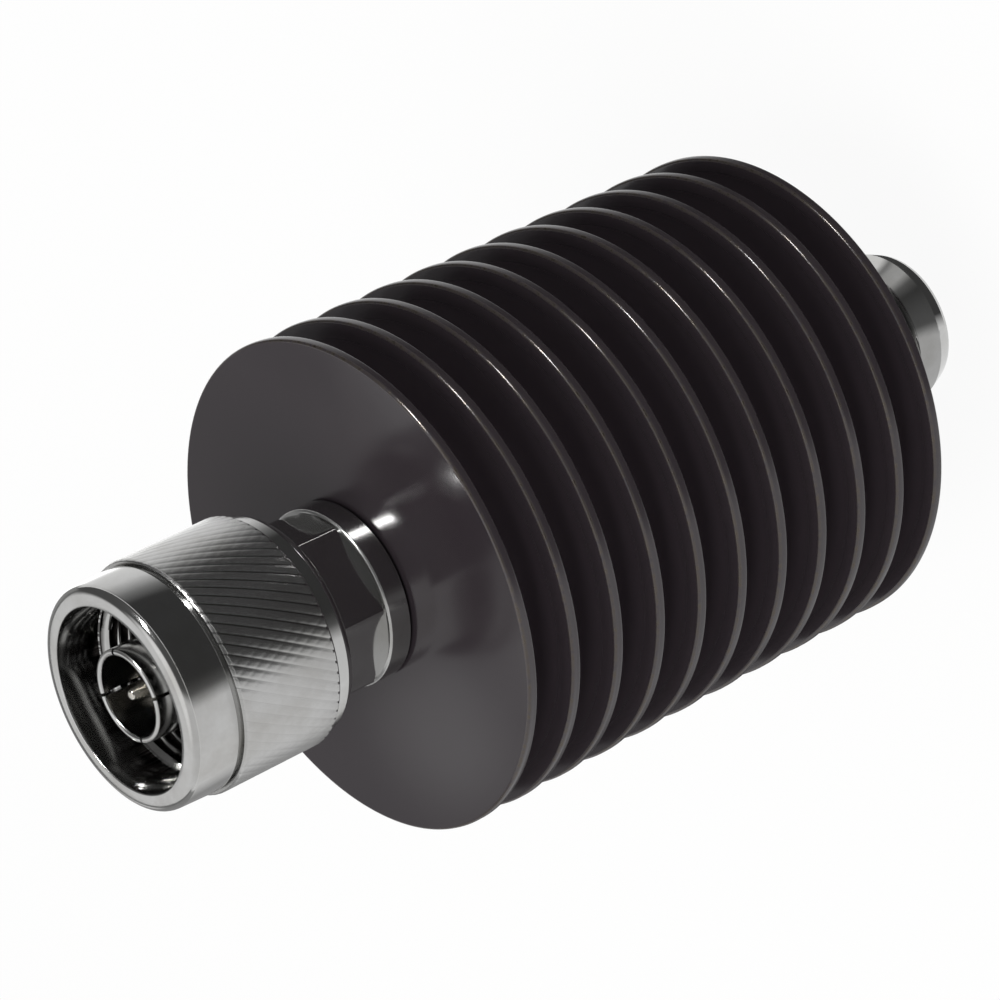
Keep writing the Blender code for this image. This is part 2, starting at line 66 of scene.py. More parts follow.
# Studio
# Matt white paper on the table, one large softbox overhead and a pale room. Metal this bright mirrors what
# stands round it, so the walls and four rings of card on the table are dark on one side, a graded board stands
# behind and a curved strip light to the right. Only gloss sees the cards, the board and the strip.
PAPER = "#f4f4f2"
PAPER_SIZE = 4.0
PAPER_DROP = 0.02 * MM           # the part stands this little above the paper
PAPER_GLOW = 0.93                # share of the paper that is plain white to the camera and to gloss
ROOM_LIGHT = 0.55                # what the room adds to matt surfaces
SOFTBOX_PLACE = Vector((-0.25, -0.30, 0.85))
SOFTBOX_SIZE = 0.55
SOFTBOX_POWER = 5.0
CEILING_LIGHT = 1.15
CEILING_EDGE = (math.sin(math.radians(52)), math.sin(math.radians(74)))
# Azimuth round the part in degrees, and how bright the walls and the cards are there
WALL_LEVELS = [(-180, 0.75), (-130, 0.75), (-118, 0.1), (44, 0.1), (66, 0.85), (120, 0.9), (180, 0.75)]
FAR_LEVELS = [(-180, 0.85), (-136, 0.8), (-122, 0.12), (-110, 0.05), (-20, 0.05), (-6, 0.25), (16, 0.85),
              (46, 0.95), (56, 1.8), (72, 1.8), (86, 0.3), (120, 0.35), (142, 0.85), (180, 0.9)]
NEAR_LEVELS = [(-180, 0.7), (-136, 0.7), (-122, 0.12), (-110, 0.05), (-20, 0.05), (-6, 0.25), (16, 0.85),
               (46, 0.95), (56, 1.8), (72, 1.8), (86, 0.1), (130, 0.1), (148, 0.35), (162, 0.65), (180, 0.7)]
# Two small rings of card round the jack's foot, which its tapered nose and its smooth band mirror
TAPER_LEVELS = [(-180, 0.9), (-118, 0.9), (-107, 0.06), (0, 0.06), (60, 0.3), (180, 0.9)]
NOSE_LEVELS = [(-180, 0.6), (-124, 0.6), (-112, 0.12), (-80, 0.06), (-70, 0.15), (-62, 0.55), (-50, 0.5),
               (-44, 0.25), (-36, 1.0), (-18, 1.0), (-5, 0.3), (60, 0.3), (180, 0.6)]
BRIGHTEST = 2.0                  # the level that a ramp's white stands for
CARD_RADII = (5.0 * MM, 7.3 * MM, 26 * MM, 118 * MM, 700 * MM)    # each card reaches from one to the next
CARD_HEIGHT = 0.4 * MM
CARD_STEPS = 72
BOARD_BACK = 50 * MM
BOARD_LOW, BOARD_HIGH, BOARD_HALF = 70 * MM, 112 * MM, 70 * MM
BOARD_DIM, BOARD_BRIGHT, BOARD_DARK = 0.32, 0.78, 0.5    # the last one is a share, along its top
BOARD_TOP = (9 * MM, 4 * MM)     # below its upper edge, where the darker top starts and where it is full
BOARD_PATCH = Vector((-9, 0, 99)) * MM
BOARD_PATCH_SIZE = Vector((9, 1, 7)) * MM
BOARD_PATCH_FADE = (0.5, 1.3)    # in the patch's size, where it starts to fade and where it is gone
STRIP_AZIMUTH = math.radians(-44)
STRIP_CENTRE = 67 * MM           # it curves round this height on the axis
STRIP_RADIUS = 180 * MM
STRIP_RISE = np.radians((24, 46))
STRIP_STEPS = 12
STRIP_WIDTH = 14 * MM
STRIP_LIGHT = 65.0


def linear(hex_colour):
    """An sRGB hex colour as the linear values that Blender works in."""
    values = [int(hex_colour[i:i + 2], 16) / 255 for i in (1, 3, 5)]
    return (*(v / 12.92 if v <= 0.04045 else ((v + 0.055) / 1.055) ** 2.4 for v in values), 1.0)


def add(tree, kind, inputs=None, **settings):
    """One node with its settings; each input is a value or the socket that it is linked from."""
    made = tree.nodes.new(kind)
    for key, value in settings.items():
        setattr(made, key, value)
    for key, value in (inputs or {}).items():
        if isinstance(value, bpy.types.NodeSocket):
            tree.links.new(value, made.inputs[key])
        else:
            made.inputs[key].default_value = value
    return made


def seen_white(tree):
    """1 for the camera, gloss and glass, 0 for light that falls on matt surfaces."""
    path = add(tree, "ShaderNodeLightPath").outputs
    shine = add(tree, "ShaderNodeMath", {0: path["Is Camera Ray"], 1: path["Is Glossy Ray"]}, operation="MAXIMUM")
    return add(tree, "ShaderNodeMath", {0: shine.outputs[0], 1: path["Is Transmission Ray"]},
               operation="MAXIMUM").outputs[0]


def flat_sheet(name, corners, surface):
    """A sheet of the studio: four corners in turn, or more of them as pairs along a bent strip."""
    mesh = bpy.data.meshes.new(name)
    mesh.from_pydata(corners, [], [range(len(corners))] if len(corners) == 4 else
                     [(i, i + 1, i + 3, i + 2) for i in range(0, len(corners) - 2, 2)])
    mesh.materials.append(surface)
    sheet = bpy.data.objects.new(name, mesh)
    bpy.context.scene.collection.objects.link(sheet)
    return sheet


def only_gloss(sheet):
    """The sheet shows in gloss alone."""
    sheet.visible_camera = sheet.visible_diffuse = sheet.visible_shadow = False
    sheet.visible_transmission = sheet.visible_volume_scatter = False


paper = bpy.data.materials.new("matt_white_paper")
paper.use_nodes = True
tree = paper.node_tree
tree.nodes.clear()
matt = add(tree, "ShaderNodeBsdfDiffuse", {"Color": linear(PAPER)})
glow = add(tree, "ShaderNodeEmission", {"Color": (1, 1, 1, 1), "Strength": 1.0})
share = add(tree, "ShaderNodeMath", {0: seen_white(tree), 1: PAPER_GLOW}, operation="MULTIPLY")
both = add(tree, "ShaderNodeMixShader", {0: share.outputs[0], 1: matt.outputs[0], 2: glow.outputs[0]})
add(tree, "ShaderNodeOutputMaterial", {"Surface": both.outputs[0]})
half = PAPER_SIZE / 2
corners = [(x * half, y * half, -PAPER_DROP) for x, y in ((-1, -1), (1, -1), (1, 1), (-1, 1))]
flat_sheet("paper_floor", corners, paper)


def by_azimuth(tree, place, levels):
    """The level for a direction, read from pairs of azimuth and brightness."""
    turn = add(tree, "ShaderNodeMath", {0: place.outputs["Y"], 1: place.outputs["X"]}, operation="ARCTAN2")
    share = add(tree, "ShaderNodeMapRange", {"Value": turn.outputs[0], "From Min": -math.pi, "From Max": math.pi})
    ramp = add(tree, "ShaderNodeValToRGB", {0: share.outputs[0]})
    while len(ramp.color_ramp.elements) < len(levels):
        ramp.color_ramp.elements.new(0.5)
    for element, (degrees, bright) in zip(ramp.color_ramp.elements, levels):
        element.position = (degrees + 180) / 360
        element.color = (bright / BRIGHTEST,) * 3 + (1,)
    return add(tree, "ShaderNodeMath", {0: ramp.outputs[0], 1: BRIGHTEST}, operation="MULTIPLY").outputs[0]


room = bpy.context.scene.world or bpy.data.worlds.new("room")
bpy.context.scene.world = room
room.use_nodes = True
tree = room.node_tree
tree.nodes.clear()
direction = add(tree, "ShaderNodeSeparateXYZ", {0: add(tree, "ShaderNodeTexCoord").outputs["Generated"]})
walls = add(tree, "ShaderNodeMapRange", {"Value": direction.outputs["Z"], "From Min": CEILING_EDGE[0],
                                         "From Max": CEILING_EDGE[1], "To Max": CEILING_LIGHT,
                                         "To Min": by_azimuth(tree, direction, WALL_LEVELS)})
walls.interpolation_type = "SMOOTHSTEP"
shown = add(tree, "ShaderNodeMapRange", {"Value": add(tree, "ShaderNodeLightPath").outputs["Is Camera Ray"],
                                         "To Min": walls.outputs[0], "To Max": 1.0})
level = add(tree, "ShaderNodeMapRange", {"Value": seen_white(tree), "To Min": ROOM_LIGHT, "To Max": shown.outputs[0]})
sky = add(tree, "ShaderNodeBackground", {"Color": (1, 1, 1, 1), "Strength": level.outputs[0]})
add(tree, "ShaderNodeOutputWorld", {"Surface": sky.outputs[0]})

softbox = bpy.data.lights.new("softbox", "AREA")
softbox.shape = "SQUARE"
softbox.size = SOFTBOX_SIZE
softbox.energy = SOFTBOX_POWER
lamp = bpy.data.objects.new("softbox", softbox)
lamp.location = SOFTBOX_PLACE
lamp.rotation_euler = (CAMERA_AIM - SOFTBOX_PLACE).to_track_quat("-Z", "Y").to_euler()
lamp.visible_glossy = False
bpy.context.scene.collection.objects.link(lamp)


def glowing(name, strength):
    """A white light for a sheet; strength is a number, or a function that builds the nodes of a large one."""
    surface = bpy.data.materials.new(name)
    surface.use_nodes = True
    tree = surface.node_tree
    tree.nodes.clear()
    if callable(strength):
        strength = strength(tree)
        surface.cycles.emission_sampling = "NONE"
    glow = add(tree, "ShaderNodeEmission", {"Color": (1, 1, 1, 1), "Strength": strength})
    add(tree, "ShaderNodeOutputMaterial", {"Surface": glow.outputs[0]})
    return surface


def card_level(levels):
    """A function that builds the nodes of a card, which is as bright as its levels say for each azimuth."""
    return lambda tree: by_azimuth(tree, add(tree, "ShaderNodeSeparateXYZ", {
        0: add(tree, "ShaderNodeTexCoord").outputs["Object"]}), levels)


def board_level(tree):
    """Dim, with a soft bright patch at the left and a darker top."""
    patch_from, patch_to = BOARD_PATCH_FADE
    top_from, top_to = BOARD_TOP
    spot = add(tree, "ShaderNodeTexCoord").outputs["Object"]
    aside = add(tree, "ShaderNodeVectorMath", {0: spot, 1: BOARD_PATCH}, operation="SUBTRACT")
    aside = add(tree, "ShaderNodeVectorMath", {0: aside.outputs[0], 1: BOARD_PATCH_SIZE}, operation="DIVIDE")
    flat = add(tree, "ShaderNodeVectorMath", {0: aside.outputs[0], 1: (1, 0, 1)}, operation="MULTIPLY")
    away = add(tree, "ShaderNodeVectorMath", {0: flat.outputs[0]}, operation="LENGTH")
    patch = add(tree, "ShaderNodeMapRange", {"Value": away.outputs["Value"], "From Min": patch_from,
                                             "From Max": patch_to, "To Min": BOARD_BRIGHT, "To Max": BOARD_DIM})
    height = add(tree, "ShaderNodeSeparateXYZ", {0: spot}).outputs["Z"]
    top = add(tree, "ShaderNodeMapRange", {"Value": height, "From Min": BOARD_HIGH - top_from,
                                           "From Max": BOARD_HIGH - top_to, "To Min": 1.0, "To Max": BOARD_DARK})
    return add(tree, "ShaderNodeMath", {0: patch.outputs[0], 1: top.outputs[0]}, operation="MULTIPLY").outputs[0]


cards = (("taper_card", TAPER_LEVELS), ("nose_card", NOSE_LEVELS), ("near_card", NEAR_LEVELS),
         ("far_card", FAR_LEVELS))
for i, (name, levels) in enumerate(cards):
    corners = [(r * math.cos(a), r * math.sin(a), CARD_HEIGHT)
               for a in np.linspace(0, 2 * math.pi, CARD_STEPS + 1) for r in CARD_RADII[i:i + 2]]
    only_gloss(flat_sheet(name, corners, glowing(name, card_level(levels))))
corners = [(x, BOARD_BACK, z) for z in (BOARD_LOW, BOARD_HIGH) for x in (-BOARD_HALF, BOARD_HALF)]
only_gloss(flat_sheet("graded_board", [corners[i] for i in (0, 1, 3, 2)], glowing("graded_board", board_level)))
along = Vector((math.cos(STRIP_AZIMUTH), math.sin(STRIP_AZIMUTH), 0))
aside = Vector((-along.y, along.x, 0))
corners = [(along * math.cos(rise) + Vector((0, 0, math.sin(rise)))) * STRIP_RADIUS + aside * side * STRIP_WIDTH / 2
           + Vector((0, 0, STRIP_CENTRE)) for rise in np.linspace(*STRIP_RISE, STRIP_STEPS) for side in (-1, 1)]
only_gloss(flat_sheet("strip_light", corners, glowing("strip_light", STRIP_LIGHT)))

# Heat sink
# One bar of aluminium, turned on a lathe: equal slots leave eleven thin fins on a core, and a bore runs
# right through for the cartridge. Black anodised all over, with the fins' edges lightly broken.
FIN_COUNT = 11
FIN_RADIUS = 21.75
FIN_THICKNESS = 1.0
FIN_PITCH = 4.7
CORE_RADIUS = 12.0
SLOT_FILLET = 0.4
SLOT_FLOOR = SLOT_FILLET + 0.01  # a ring this near the core's radius is on a slot's floor, which gets a painted fill light
FIN_FRONT_EDGE, FIN_REAR_EDGE = 0.27, 0.32
SINK_BORE_RADIUS = 6.5
BORE_CHAMFER = 0.4
SINK_FOOT = 17.4                 # the jack stands this high below the first fin
SINK_TOP = SINK_FOOT + (FIN_COUNT - 1) * FIN_PITCH + FIN_THICKNESS
SINK_STEPS = 192
EASE_STEPS = 3
EASE_SHARE = 0.49                # of a side at most for one rounding, so that two of them never meet
BROAD_EASE = 0.3                 # from here on a rounding is a form, not an edge that wears
SAME_POINT = 1e-8
SHARP = math.radians(35)


def eased(outline, closed=True):
    """Rounds each corner of an outline of (radius, height, ease, corner cap) points.

    A negative ease is an inner fillet, which nothing rubs. Gives rows of radius, height, wear and cap; only
    the rows inside a small rounding are worn, so that the wear doesn't spread over the faces beside it.
    """
    points = [np.array(point[:2], float) for point in outline]
    rows = []
    for i, point in enumerate(outline):
        ease = point[2] if len(point) > 2 else 0.0
        cap = point[3] if len(point) > 3 else 0.0
        here = points[i]
        if ease == 0 or (not closed and i in (0, len(outline) - 1)):
            rows.append((*here, 0.0, cap))
            continue
        back, ahead = points[i - 1] - here, points[(i + 1) % len(points)] - here
        back_length, ahead_length = np.linalg.norm(back), np.linalg.norm(ahead)
        back, ahead = back / back_length, ahead / ahead_length
        half_angle = math.acos(np.clip(back @ ahead, -1, 1)) / 2
        reach = min(abs(ease) / math.tan(half_angle), EASE_SHARE * back_length, EASE_SHARE * ahead_length)
        middle = (back + ahead) / np.linalg.norm(back + ahead)
        centre = here + middle * reach / math.cos(half_angle)
        first, last = here + back * reach - centre, here + ahead * reach - centre
        sweep = math.pi - 2 * half_angle
        broad = abs(ease) >= BROAD_EASE
        steps = 3 * EASE_STEPS if broad else EASE_STEPS
        for k in range(steps + 1):
            share = k / steps
            spoke = (first * math.sin((1 - share) * sweep) + last * math.sin(share * sweep)) / math.sin(sweep)
            rubbed = ease > 0 and not broad and 0 < k < steps
            rows.append((*(centre + spoke), 1.0 if rubbed else 0.0, cap))
    return rows


def ring_at(radius, around, height):
    """A ring of points; its radius is one number, or one for each angle."""
    return np.stack([radius * np.cos(around), radius * np.sin(around), np.full(len(around), height)], axis=1)


def round_rows(outline, around, closed=True):
    """Rings of points, one for each point of the eased outline, and the wear of each ring."""
    rows = eased(outline, closed)
    return [ring_at(radius, around, height) for radius, height, _, _ in rows], [wear for _, _, wear, _ in rows]


def full_turn(steps):
    """Angles all the way round, evenly spaced."""
    return np.linspace(0, 2 * math.pi, steps, endpoint=False)


def meshed(name, rings, faces, **measures):
    """An object over rings of points in millimetres, with the measures, such as wear, stored at each point."""
    mesh = bpy.data.meshes.new(name)
    mesh.from_pydata((np.concatenate(rings) * MM).tolist(), [], faces)
    for measure, values in measures.items():
        mesh.attributes.new(measure, "FLOAT", "POINT").data.foreach_set("value", values.astype(float))
    bm = bmesh.new()
    bm.from_mesh(mesh)
    bmesh.ops.remove_doubles(bm, verts=bm.verts, dist=SAME_POINT)
    bmesh.ops.recalc_face_normals(bm, faces=bm.faces)
    bm.to_mesh(mesh)
    bm.free()
    piece = bpy.data.objects.new(name, mesh)
    bpy.context.scene.collection.objects.link(piece)
    return piece


def skinned(name, rings, wear, closed=True, groove=None):
    """A mesh over full rings of points, with edge wear and groove depth stored at each point."""
    count, steps = len(rings), len(rings[0])
    faces = []
    for i in range(count if closed else count - 1):
        low, high = i * steps, (i + 1) % count * steps
        faces += [(low + j, low + (j + 1) % steps, high + (j + 1) % steps, high + j) for j in range(steps)]
    depth = np.zeros(count * steps) if groove is None else np.concatenate(groove)
    return meshed(name, rings, faces, wear=np.repeat(wear, steps), groove=depth)


def fitted(piece, surface, body, slot, *nodes):
    """Smooth shading with crisp edges, the material, and the CAD nodes that the piece stands for."""
    piece.data.materials.clear()
    piece.data.materials.append(surface)
    piece.data.shade_smooth()
    piece.data.set_sharp_from_angle(angle=SHARP)
    even = piece.modifiers.new("even_shading", "WEIGHTED_NORMAL")
    even.mode = "FACE_AREA"
    even.keep_sharp = True
    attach(piece, body)
    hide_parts(*nodes)


def finish(name, **sockets):
    """A material whose plain values sit on the shader's own sockets; gives it, its nodes and the shader."""
    surface = bpy.data.materials.new(name)
    surface.use_nodes = True
    nodes = surface.node_tree
    shader = nodes.nodes["Principled BSDF"]
    for key, value in sockets.items():
        shader.inputs[key.replace("_", " ")].default_value = value
    return surface, nodes, shader.inputs


def turning_marks(tree, spacing, drift):
    """Noise that runs round the axis like the marks of a lathe tool: spacing in mm, drift in cycles a turn."""
    spot = add(tree, "ShaderNodeSeparateXYZ", {0: add(tree, "ShaderNodeTexCoord").outputs["Object"]})
    flat = add(tree, "ShaderNodeCombineXYZ", {"X": spot.outputs["X"], "Y": spot.outputs["Y"]})
    radius = add(tree, "ShaderNodeVectorMath", {0: flat.outputs[0]}, operation="LENGTH")
    angle = add(tree, "ShaderNodeMath", {0: spot.outputs["Y"], 1: spot.outputs["X"]}, operation="ARCTAN2")
    swing = add(tree, "ShaderNodeMath", {0: angle.outputs[0], 1: drift * spacing * MM / (2 * math.pi)},
                operation="MULTIPLY")
    path = add(tree, "ShaderNodeCombineXYZ", {"X": radius.outputs["Value"], "Y": spot.outputs["Z"],
                                              "Z": swing.outputs[0]})
    return add(tree, "ShaderNodeTexNoise", {"Vector": path.outputs[0], "Scale": 1 / (spacing * MM), "Detail": 3.0,
                                            "Roughness": 0.55})


# Dyed black anodising on turned aluminium: a hard glassy layer (IOR of sealed aluminium oxide, about 1.62) over
# a matt black, so faces go grey where they catch the room and stay black inside the slots. The sharper edges
# are rubbed through in places to the metal, a thin cream line that lights up only where it mirrors a light.
# The slots' floors are painted lighter, a painted fill light, so they don't go quite black.
# Tool marks are 0.06 mm apart in life and are drawn at 0.25 mm, to show.
ANODISED = "#2e292d"
ANODISED_WARM = "#312b2e"
ANODISED_WORN = "#5f5850"
SLOT_FLOOR_PAINTED_LIGHT = "#6f636b"
ANODISED_MARKS = 0.25
DYE_CLOUDS = 9 * MM              # how far the dye's two shades drift across the bar
RUBBED_SPOTS = 0.5 * MM
black_anodised, tree, shader = finish("dyed_black_anodised_aluminium", IOR=1.62)
marks = turning_marks(tree, ANODISED_MARKS, 6)
spot = add(tree, "ShaderNodeTexCoord").outputs["Object"]
clouds = add(tree, "ShaderNodeTexNoise", {"Vector": spot, "Scale": 1 / DYE_CLOUDS, "Detail": 4.0})
spots = add(tree, "ShaderNodeTexNoise", {"Vector": spot, "Scale": 1 / RUBBED_SPOTS, "Detail": 2.0})
dye = add(tree, "ShaderNodeMix", {"Factor": clouds.outputs["Fac"], 6: linear(ANODISED), 7: linear(ANODISED_WARM)},
          data_type="RGBA")
# Painted fill light: the slots' floors, marked by the groove measure, are mixed towards a pale colour so they don't
# go black.
depth = add(tree, "ShaderNodeAttribute", attribute_name="groove")
floor_light_share = add(tree, "ShaderNodeMapRange", {"Value": depth.outputs["Fac"], "From Min": 0.1, "From Max": 0.9})
slot_lit_colour = add(tree, "ShaderNodeMix", {"Factor": floor_light_share.outputs[0], 6: dye.outputs[2], 7: linear(SLOT_FLOOR_PAINTED_LIGHT)},
            data_type="RGBA")
wear = add(tree, "ShaderNodeAttribute", attribute_name="wear")
patchy = add(tree, "ShaderNodeMapRange", {"Value": spots.outputs["Fac"], "From Min": 0.35, "From Max": 0.75})
rubbed = add(tree, "ShaderNodeMath", {0: wear.outputs["Fac"], 1: patchy.outputs[0]}, operation="MULTIPLY")
colour = add(tree, "ShaderNodeMix", {"Factor": rubbed.outputs[0], 6: slot_lit_colour.outputs[2], 7: linear(ANODISED_WORN)},
             data_type="RGBA")
tree.links.new(colour.outputs[2], shader["Base Color"])
tree.links.new(rubbed.outputs[0], shader["Metallic"])
gloss = add(tree, "ShaderNodeMapRange", {"Value": clouds.outputs["Fac"], "From Min": 0.3, "From Max": 0.7,
                                         "To Min": 0.15, "To Max": 0.2})
tree.links.new(gloss.outputs[0], shader["Roughness"])
bump = add(tree, "ShaderNodeBump", {"Height": marks.outputs["Fac"], "Strength": 0.1, "Distance": 0.02 * MM})
tree.links.new(bump.outputs[0], shader["Normal"])

outline = [(SINK_BORE_RADIUS, SINK_FOOT + BORE_CHAMFER), (SINK_BORE_RADIUS + BORE_CHAMFER, SINK_FOOT)]
for i in range(FIN_COUNT):
    low = SINK_FOOT + i * FIN_PITCH
    high = low + FIN_THICKNESS
    outline += [(FIN_RADIUS, low, FIN_REAR_EDGE), (FIN_RADIUS, high, FIN_FRONT_EDGE)]
    if i < FIN_COUNT - 1:
        outline += [(CORE_RADIUS, high, -SLOT_FILLET), (CORE_RADIUS, low + FIN_PITCH, -SLOT_FILLET)]
outline += [(SINK_BORE_RADIUS + BORE_CHAMFER, SINK_TOP), (SINK_BORE_RADIUS, SINK_TOP - BORE_CHAMFER)]
rings, wear = round_rows(outline, full_turn(SINK_STEPS))
# The slot floors are marked in the groove measure, for the anodised finish's painted fill light.
on_floor = [np.full(SINK_STEPS, float(abs(ring[0, 0] - CORE_RADIUS) <= SLOT_FLOOR)) for ring in rings]
fitted(skinned("heat_sink_fins", rings, wear, groove=on_floor), black_anodised, "attenuator", "black_anodised",
       "heat_sink")

# Attenuator cartridge
# A film resistor on a ceramic plate lies between two halves of an aluminium bar, which carry its heat to the
# sink. Foil tabs join it to the two centre conductors, and four socket screws hold the cover down.
MIDDLE = (SINK_FOOT + SINK_TOP) / 2


def repaint(surface, slot, *names):
    """Carried-over CAD nodes get the material."""
    for name in names:
        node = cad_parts[name]
        if not node.material_slots:
            node.data.materials.append(surface)
        for place in node.material_slots:
            place.material = surface


# Milled 6000-series aluminium, left bare: bright grey with straight cutter marks, 0.1 mm apart in life and
# drawn at 0.3 mm, to show.
BARE_ALUMINIUM = "#c9cacd"
CUTTER_MARKS = 0.3 * MM
ALONG_CUT = 0.04                 # the pattern is stretched this much along the cutter's way
bare_aluminium, tree, shader = finish("milled_bare_aluminium", Base_Color=linear(BARE_ALUMINIUM), Metallic=1.0)
spot = add(tree, "ShaderNodeMapping", {"Vector": add(tree, "ShaderNodeTexCoord").outputs["Object"],
                                       "Scale": (1.0, 1.0, ALONG_CUT)})
cutter = add(tree, "ShaderNodeTexNoise", {"Vector": spot.outputs[0], "Scale": 1 / CUTTER_MARKS, "Detail": 3.0})
rough = add(tree, "ShaderNodeMapRange", {"Value": cutter.outputs["Fac"], "To Min": 0.25, "To Max": 0.45})
tree.links.new(rough.outputs[0], shader["Roughness"])
bump = add(tree, "ShaderNodeBump", {"Height": cutter.outputs["Fac"], "Strength": 0.2, "Distance": 0.02 * MM})
tree.links.new(bump.outputs[0], shader["Normal"])
repaint(bare_aluminium, "bare_aluminium", "chip_carrier", "carrier_cover")

# Alumina, ground flat, with silver printed at both ends and a dark resistor film between.
ALUMINA, ALUMINA_GRAIN, FILM, PRINTED_SILVER = "#e3e1d6", "#d3d0c4", "#3a3431", "#c4c2bb"
FILM_HALF_WIDTH = 1.9
PAD_START = 7.3
alumina, tree, shader = finish("alumina_with_resistor_film", Metallic=0.0, IOR=1.76, Roughness=0.5)
spot = add(tree, "ShaderNodeSeparateXYZ", {0: add(tree, "ShaderNodeTexCoord").outputs["Object"]})
grain = add(tree, "ShaderNodeTexNoise", {"Vector": add(tree, "ShaderNodeTexCoord").outputs["Object"],
                                         "Scale": 1 / (0.2 * MM), "Detail": 4.0})
down_line = add(tree, "ShaderNodeMath", {0: spot.outputs["Z"], 1: MIDDLE * MM}, operation="SUBTRACT")
end = add(tree, "ShaderNodeMath", {0: down_line.outputs[0]}, operation="ABSOLUTE")
side = add(tree, "ShaderNodeMath", {0: spot.outputs["X"]}, operation="ABSOLUTE")
on_top = add(tree, "ShaderNodeSeparateXYZ", {0: add(tree, "ShaderNodeNewGeometry").outputs["Normal"]})
top = add(tree, "ShaderNodeMath", {0: on_top.outputs["Y"], 1: 0.5}, operation="GREATER_THAN")
narrow = add(tree, "ShaderNodeMath", {0: side.outputs[0], 1: FILM_HALF_WIDTH * MM}, operation="LESS_THAN")
printed = add(tree, "ShaderNodeMath", {0: top.outputs[0], 1: narrow.outputs[0]}, operation="MULTIPLY")
pad = add(tree, "ShaderNodeMath", {0: end.outputs[0], 1: PAD_START * MM}, operation="GREATER_THAN")
print_colour = add(tree, "ShaderNodeMix", {"Factor": pad.outputs[0], 6: linear(FILM), 7: linear(PRINTED_SILVER)},
                   data_type="RGBA")
body_colour = add(tree, "ShaderNodeMix", {"Factor": grain.outputs["Fac"], 6: linear(ALUMINA),
                                          7: linear(ALUMINA_GRAIN)}, data_type="RGBA")
colour = add(tree, "ShaderNodeMix", {"Factor": printed.outputs[0], 6: body_colour.outputs[2],
                                     7: print_colour.outputs[2]}, data_type="RGBA")
tree.links.new(colour.outputs[2], shader["Base Color"])
bump = add(tree, "ShaderNodeBump", {"Height": grain.outputs["Fac"], "Strength": 0.15, "Distance": 0.01 * MM})
tree.links.new(bump.outputs[0], shader["Normal"])
repaint(alumina, "ceramic", "attenuator_chip")

# Rolled silver foil, soft and a little crumpled.
SILVER = "#dedbd3"
silver_foil, tree, shader = finish("rolled_silver_foil", Base_Color=linear(SILVER), Metallic=1.0)
crease = add(tree, "ShaderNodeTexNoise", {"Vector": add(tree, "ShaderNodeTexCoord").outputs["Object"],
                                          "Scale": 1 / (0.6 * MM), "Detail": 4.0})
rough = add(tree, "ShaderNodeMapRange", {"Value": crease.outputs["Fac"], "To Min": 0.15, "To Max": 0.4})
tree.links.new(rough.outputs[0], shader["Roughness"])
bump = add(tree, "ShaderNodeBump", {"Height": crease.outputs["Fac"], "Strength": 0.3, "Distance": 0.03 * MM})
tree.links.new(bump.outputs[0], shader["Normal"])
repaint(silver_foil, "silver_foil", "input_ribbon", "output_ribbon")

# Bright zinc on steel screws: grey with a faint blue and yellow bloom.
ZINC, ZINC_BLOOM = "#b4b8bd", "#b9b49c"
zinc, tree, shader = finish("zinc_plated_steel", Metallic=1.0)
bloom = add(tree, "ShaderNodeTexNoise", {"Vector": add(tree, "ShaderNodeTexCoord").outputs["Object"],
                                         "Scale": 1 / (1.2 * MM), "Detail": 3.0})
colour = add(tree, "ShaderNodeMix", {"Factor": bloom.outputs["Fac"], 6: linear(ZINC), 7: linear(ZINC_BLOOM)},
             data_type="RGBA")
tree.links.new(colour.outputs[2], shader["Base Color"])
rough = add(tree, "ShaderNodeMapRange", {"Value": bloom.outputs["Fac"], "To Min": 0.22, "To Max": 0.4})
tree.links.new(rough.outputs[0], shader["Roughness"])
repaint(zinc, "plated_steel", *(f"cover_screw_{i}" for i in range(1, 5)))

# Jack body
# Turned brass, nickel plated: a spigot screwed into the sink, a round collar, a short hexagon milled for the
# spanner, a 5/8 inch thread of 24 to the inch, and a smooth nose whose taper leads the mating nut on.
SPIGOT_RADIUS = 6.2
SPIGOT_EDGE = 0.15
COLLAR_RADIUS = 7.9
FLAT_REACH = 6.8                 # axis to a wrench flat
CORNER_CAP = 7.83                # the round bar leaves the hexagon's corners this far out
CORNER_CHAMFERED = 7.35          # the corners after the turned chamfer at the hexagon's end
CORNER_CHAMFER_LENGTH = 0.5
BODY_EDGE = 0.1
SHOULDER_EDGE = 0.28             # the collar's edge beside the hexagon is broken more
JACK_HEIGHTS = (24.4, 17.1, 14.9, 12.4)    # spigot's end, collar's rear, shoulder, hexagon's end
THREAD_PITCH = 25.4 / 24
THREAD_ROWS = 16                 # rings for each turn of the thread
THREAD_CREST, THREAD_FLANK = 0.88, 0.62    # of half a pitch: root's middle to crest, and a flank's share
JACK_THREAD = (4.4, 11.4)        # heights of its two ends
JACK_CREST, JACK_ROOT, JACK_UNDERCUT = 7.94, 7.29, 7.1
JACK_NOSE, JACK_TIP = 7.2, 6.5   # the nose's radius before its taper and after it
JACK_TAPER = 1.8                 # height where the taper starts
JACK_MOUTH, JACK_BORE, LINE_BORE, BEAD_SEAT = 4.9, 4.2, 3.5, 4.35
MOUTH_DEPTH = 0.8
JACK_PLANE = 9.0                 # height of the step that the mating plug's tube meets
JACK_BEAD_STEP = 12.0
# Angles in each sixth of a turn, close together beside the hexagon's corners
SIXTH = (0.67, 3.0, 5.4, 7.7, 12, 16.5, 21, 25.5, 30, 34.5, 39, 43.5, 48, 52.3, 54.6, 57, 59.33)
body_around = np.radians([60 * i + part for i in range(6) for part in SIXTH])


